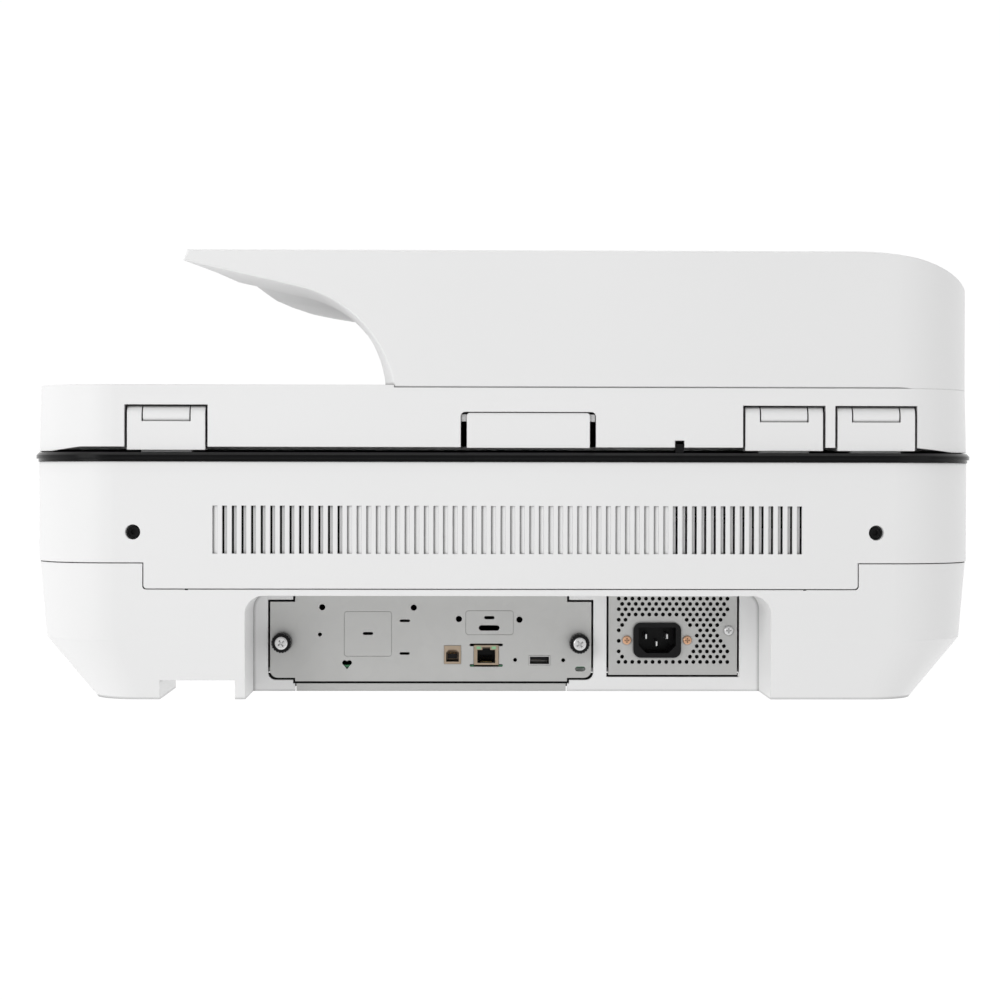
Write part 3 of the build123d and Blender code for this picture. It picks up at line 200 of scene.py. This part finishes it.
def boardLaminate(name):
    # solder mask over fine copper tracks
    f = Finish(name)
    tracks = f.node("TexBrick", {"offset": 0.5}, {
        "Vector": f.place, "Scale": 160.0, "Mortar Size": 0.06, "Mortar": (0.05, 0.22, 0.10, 1),
        "Color1": (0.01, 0.10, 0.05, 1), "Color2": (0.015, 0.13, 0.06, 1)})
    weave = f.noise(600.0, 2.0)
    return f.set(colour=tracks, rough=0.3 + weave * 0.15, normal=f.bump(weave, 0.1, 0.0001))


def lampPlastic(name, colour):
    f = Finish(name)
    cloud = f.noise(800.0, 2.0)
    tone = f.mix(cloud, tuple(c * 0.8 for c in colour) + (1,), (*colour, 1))
    return f.set(colour=tone, rough=0.25 + cloud * 0.1, coat=0.4)


def darkWindow(name):
    f = Finish(name)
    haze = f.noise(25.0, 4.0)
    tone = f.mix(haze, (0.010, 0.013, 0.016, 1), (0.018, 0.022, 0.026, 1))
    return f.set(colour=tone, rough=0.08 + haze * 0.1, coat=0.8, coatRough=0.04)


bodyWhite = (0.80, 0.80, 0.80)
finishes = {
    "housing_white": moulded("housingWhite", bodyWhite),
    "feeder_white": moulded("feederWhite", (0.79, 0.79, 0.79), 0.5, 2400.0),
    "trim_black": glossTrim("trimBlack"),
    "platen_glass": clearGlass("platenGlass"),
    "zinc_steel": sheetSteel("zincSteel", (0.54, 0.54, 0.53)),
    "polished_steel": turnedMetal("polishedSteel", (0.72, 0.72, 0.73), 0.12),
    "copper_plate": turnedMetal("copperScrew", (0.78, 0.47, 0.30), 0.3),
    "screw_steel": turnedMetal("screwSteel", (0.80, 0.80, 0.80), 0.2),
    "black_plastic": moulded("blackPlastic", (0.004, 0.004, 0.0045), 0.36, 1800.0, 0.3, 0.0003, 0.2),
    "board_green": boardLaminate("boardGreen"),
    "shield_tan": turnedMetal("socketShield", (0.50, 0.40, 0.30), 0.32),
    "lamp_green": lampPlastic("lampGreen", (0.25, 0.55, 0.30)),
    "roller_rubber": rubber("rollerRubber", (0.05, 0.05, 0.055)),
    "foot_rubber": rubber("footRubber", (0.03, 0.03, 0.03)),
    "belt_rubber": rubber("beltRubber", (0.02, 0.02, 0.02)),
    "pad_white": moulded("padWhite", (0.84, 0.84, 0.84), 0.6, 1200.0, 0.4),
    "screen_dark": darkWindow("screenDark"),
    "grey_plastic": moulded("greyPlastic", (0.25, 0.25, 0.26), 0.45),
}

for entry in frame["record"]["subparts"]:
    piece = nodes[entry["node"]]
    piece.data.materials.clear()
    piece.data.materials.append(finishes[entry["material_slot"]])
print("finishes assigned")


def keep(mesh, name, body, slot, finish=None, smooth=False):
    # turns a bmesh into a piece that rides on a body
    data = bpy.data.meshes.new(name)
    mesh.to_mesh(data)
    mesh.free()
    piece = bpy.data.objects.new(name, data)
    bpy.context.scene.collection.objects.link(piece)
    data.materials.append(finish or finishes[slot])
    if smooth:
        for face in data.polygons:
            face.use_smooth = True
    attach(piece, body)


def addBlock(mesh, low, high, bevel=0.0):
    made = bmesh.ops.create_cube(mesh, size=1.0)
    size = Vector(high) - Vector(low)
    middle = (Vector(high) + Vector(low)) / 2
    for v in made["verts"]:
        v.co = Vector((v.co.x * size.x, v.co.y * size.y, v.co.z * size.z)) + middle
    if bevel:
        edges = [e for e in mesh.edges if e.verts[0] in made["verts"]]
        bmesh.ops.bevel(mesh, geom=edges, offset=bevel, segments=2, affect="EDGES", profile=0.6)


def addTube(mesh, points, radius, sides=6):
    # round wire through points
    rings = []
    for i, p in enumerate(points):
        before, after = points[max(i - 1, 0)], points[min(i + 1, len(points) - 1)]
        along = (Vector(after) - Vector(before)).normalized()
        side = along.orthogonal().normalized()
        over = along.cross(side)
        ring = []
        for k in range(sides):
            a = 2 * math.pi * k / sides
            out = side * math.cos(a) * radius + over * math.sin(a) * radius
            ring.append(mesh.verts.new(Vector(p) + out))
        rings.append(ring)
    for one, two in zip(rings, rings[1:]):
        for k in range(sides):
            mesh.faces.new((one[k], one[(k + 1) % sides], two[(k + 1) % sides], two[k]))
    mesh.faces.new(rings[0][::-1])
    mesh.faces.new(rings[-1])


networkSocket = {
    "x": 0.0114, "z": 0.0241, "faceY": 0.2394, "contacts": 8, "pitch": 0.00102, "wire": 0.00022,
    "bends": [(0.0025, 0.0049), (0.0045, 0.0042), (0.0105, 0.0018), (0.0140, 0.0012)],  # depth, drop below z
}


def networkContacts(d=networkSocket):
    # sprung gold wires that slope up into the socket
    mesh = bmesh.new()
    for i in range(d["contacts"]):
        x = d["x"] + (i - (d["contacts"] - 1) / 2) * d["pitch"]
        path = [(x, d["faceY"] - back, d["z"] - down) for back, down in d["bends"]]
        addTube(mesh, path, d["wire"])
    gold = turnedMetal("contactGold", (0.85, 0.62, 0.25), 0.2)
    keep(mesh, "networkContacts", "base", "copper_plate", gold, True)


networkContacts()

# each blade: half its width, how deep its ends lie behind the face, and how far it stands off its tongue
squareSocket = {
    "x": 0.0337, "faceY": 0.2394, "columns": (-0.00125, 0.00125), "rows": (0.02475, 0.0215),
    "half": 0.0005, "deep": (0.0125, 0.0036), "thick": (-0.0001, 0.0002)}
flatSocket = {
    "x": -0.0238, "faceY": 0.2394, "columns": (-0.0033, -0.0011, 0.0011, 0.0033), "rows": (0.0206,),
    "half": 0.0005, "deep": (0.0115, 0.0030), "thick": (0.00005, 0.0003)}
bladeEdge = 0.0001


def usbContacts():
    # flat gold blades on the tongues of the two data sockets
    mesh = bmesh.new()
    for d in (squareSocket, flatSocket):
        far, near = d["deep"]
        under, over = d["thick"]
        for column in d["columns"]:
            x = d["x"] + column
            for z in d["rows"]:
                low = (x - d["half"], d["faceY"] - far, z + under)
                high = (x + d["half"], d["faceY"] - near, z + over)
                addBlock(mesh, low, high, bladeEdge)
    keep(mesh, "usbContacts", "base", "copper_plate", bpy.data.materials["contactGold"])


usbContacts()
print("socket contacts made")

# black mouldings inside the sockets: thin walls, a back, and caps on the tongues
socketLiners = {
    "networkLiner": [
        ((0.00552, 0.2242, 0.01892), (0.01728, 0.2245, 0.02748)),
        ((0.00552, 0.2245, 0.01892), (0.00582, 0.2392, 0.02748)),
        ((0.01698, 0.2245, 0.01892), (0.01728, 0.2392, 0.02748)),
        ((0.00582, 0.2245, 0.01892), (0.01698, 0.2392, 0.01922)),
        ((0.00582, 0.2245, 0.02718), (0.00878, 0.2392, 0.02748)),
        ((0.01402, 0.2245, 0.02718), (0.01698, 0.2392, 0.02748)),
        ((0.00884, 0.2245, 0.02900), (0.01396, 0.2392, 0.02926)),
    ],
    "squareLiner": [
        ((0.02954, 0.2280, 0.01974), (0.02984, 0.2392, 0.02564)),
        ((0.03756, 0.2280, 0.01974), (0.03786, 0.2392, 0.02564)),
        ((0.02984, 0.2280, 0.01974), (0.03756, 0.2392, 0.02000)),
        ((0.03080, 0.23605, 0.02160), (0.03660, 0.2364, 0.02480)),
    ],
    "flatLiner": [
        ((-0.03005, 0.2265, 0.01824), (-0.02975, 0.2390, 0.02296)),
        ((-0.01785, 0.2265, 0.01824), (-0.01755, 0.2390, 0.02296)),
        ((-0.02975, 0.2265, 0.01824), (-0.01785, 0.2390, 0.01850)),
        ((-0.02950, 0.23705, 0.02080), (-0.01810, 0.2373, 0.02260)),
    ],
}


def linerBoxes(name, boxes):
    mesh = bmesh.new()
    for low, high in boxes:
        addBlock(mesh, low, high)
    keep(mesh, name, "base", "black_plastic")


insulator = {"y": (0.2330, 0.2334), "strips": [
    (-0.1530, -0.1450, 0.0172, 0.0360),
    (-0.1530, -0.1450, 0.0448, 0.0686),
    (-0.1450, -0.1250, 0.0172, 0.0686),
    (-0.1250, -0.0780, 0.0172, 0.0213),
    (-0.1250, -0.0780, 0.0467, 0.0686),
    (-0.0780, -0.0712, 0.0172, 0.0686),
]}


def insulatorSheet(d=insulator):
    # black insulating sheet behind the perforated panel, cut out round the inlet and the earth screw
    mesh = bmesh.new()
    for x0, x1, z0, z1 in d["strips"]:
        addBlock(mesh, (x0, d["y"][0], z0), (x1, d["y"][1], z1))
    keep(mesh, "insulatorSheet", "base", "black_plastic")


gapShadeStrips = {"y": (0.2318, 0.2324), "edge": 0.0001, "strips": [
    (-0.0600, 0.1560, 0.0030, 0.0119),
    (-0.1560, -0.0680, 0.0030, 0.0119),
]}


def paintedGapShade(d=gapShadeStrips):
    # black strips behind the lower gaps of the two panels, standing in for the shade inside the gaps:
    # painted shade
    mesh = bmesh.new()
    for x0, x1, z0, z1 in d["strips"]:
        addBlock(mesh, (x0, d["y"][0], z0), (x1, d["y"][1], z1), d["edge"])
    keep(mesh, "paintedGapShade", "base", "black_plastic")


paintedGapShade()
for name, boxes in socketLiners.items():
    linerBoxes(name, boxes)
insulatorSheet()
print("socket liners and insulator made")

clipSlotShadeBlocks = {
    "x": (0.2020, -0.1904), "z": 0.0702, "size": (0.0022, 0.0022, 0.0012), "proud": 0.00005, "edge": 0.0003}


def clipSlotShade(d=clipSlotShadeBlocks):
    # black blocks filling the release slots where the upper housing's skirt meets the lower housing: painted
    # shade for the slots' dark insides
    mesh = bmesh.new()
    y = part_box("upper_housing")[1].y
    w, t, h = d["size"]
    for x in d["x"]:
        low = (x - w / 2, y - t, d["z"] - h / 2)
        high = (x + w / 2, y + d["proud"], d["z"] + h / 2)
        addBlock(mesh, low, high, d["edge"])
    keep(mesh, "clipSlotShade", "base", "black_plastic")


clipSlotShade()

# camera, lights and floor
view = {"at": (0.028, 1.802, 0.1404), "aim": (0.0035, 0.301, 0.1271), "lens": 85.2, "roll": 0.1}


def setCamera(d=view):
    camera = bpy.data.cameras.new("camera")
    camera.lens, camera.sensor_width = d["lens"], 36.0
    camera.clip_end = 50.0
    rig = bpy.data.objects.new("camera", camera)
    bpy.context.scene.collection.objects.link(rig)
    toward = Vector(d["aim"]) - Vector(d["at"])
    turn = toward.to_track_quat("-Z", "Y").to_matrix().to_4x4()
    rig.matrix_world = Matrix.Translation(d["at"]) @ turn @ Matrix.Rotation(math.radians(d["roll"]), 4, "Z")
    bpy.context.scene.camera = rig


setCamera()

# brightness of the backdrop behind and before the machine, and where the one passes into the other
studio = {"floor": 30.0, "behind": 1.02, "before": 0.12, "passing": (0.15, 0.8)}
lamps = [
    {"name": "overhead", "at": (0.3, 0.9, 2.6), "aim": (0, 0, 0.15), "size": 2.4, "power": 12.0},
    {"name": "key", "at": (1.7, 2.1, 0.85), "aim": (0, 0.3, 0.12), "size": 1.2, "power": 24.0},
    {"name": "fill", "at": (-1.6, 2.2, 0.7), "aim": (0, 0.3, 0.12), "size": 1.6, "power": 5.0},
]


def setStudio(d=studio):
    mesh = bmesh.new()
    half = d["floor"] / 2
    around = ((-half, -half), (half, -half), (half, half), (-half, half))
    mesh.faces.new([mesh.verts.new((x, y, 0)) for x, y in around])
    data = bpy.data.meshes.new("floor")
    mesh.to_mesh(data)
    mesh.free()
    floor = bpy.data.objects.new("floor", data)
    bpy.context.scene.collection.objects.link(floor)
    paint = Finish("floorPaper")
    cloud = paint.noise(2.0, 2.0)
    paint.set(colour=paint.mix(cloud, (0.02, 0.02, 0.02, 1), (0.03, 0.03, 0.03, 1)), rough=0.9, specular=0.0)
    paint.shader.inputs["Emission Color"].default_value = (1, 1, 1, 1)
    paint.shader.inputs["Emission Strength"].default_value = d["behind"]
    data.materials.append(paint.material)
    world = bpy.data.worlds.new("studio")
    bpy.context.scene.world = world
    world.use_nodes = True
    # white behind the machine, dimmer on the side the camera stands
    tree = world.node_tree
    sky = tree.nodes["Background"]
    where = tree.nodes.new("ShaderNodeTexCoord")
    parts = tree.nodes.new("ShaderNodeSeparateXYZ")
    ramp = tree.nodes.new("ShaderNodeMapRange")
    ramp.inputs["From Min"].default_value, ramp.inputs["From Max"].default_value = d["passing"]
    ramp.inputs["To Min"].default_value, ramp.inputs["To Max"].default_value = d["behind"], d["before"]
    tree.links.new(where.outputs["Generated"], parts.inputs[0])
    tree.links.new(parts.outputs["Y"], ramp.inputs["Value"])
    tree.links.new(ramp.outputs[0], sky.inputs["Strength"])
    sky.inputs["Color"].default_value = (1, 1, 1, 1)
    for lamp in lamps:
        light = bpy.data.lights.new(lamp["name"], "AREA")
        light.shape, light.size, light.energy = "SQUARE", lamp["size"], lamp["power"]
        rig = bpy.data.objects.new(lamp["name"], light)
        bpy.context.scene.collection.objects.link(rig)
        rig.location = lamp["at"]
        rig.rotation_euler = (Vector(lamp["aim"]) - Vector(lamp["at"])).to_track_quat("-Z", "Y").to_euler()
    bpy.context.scene.view_settings.view_transform = "Standard"


setStudio()
print("camera and studio set")
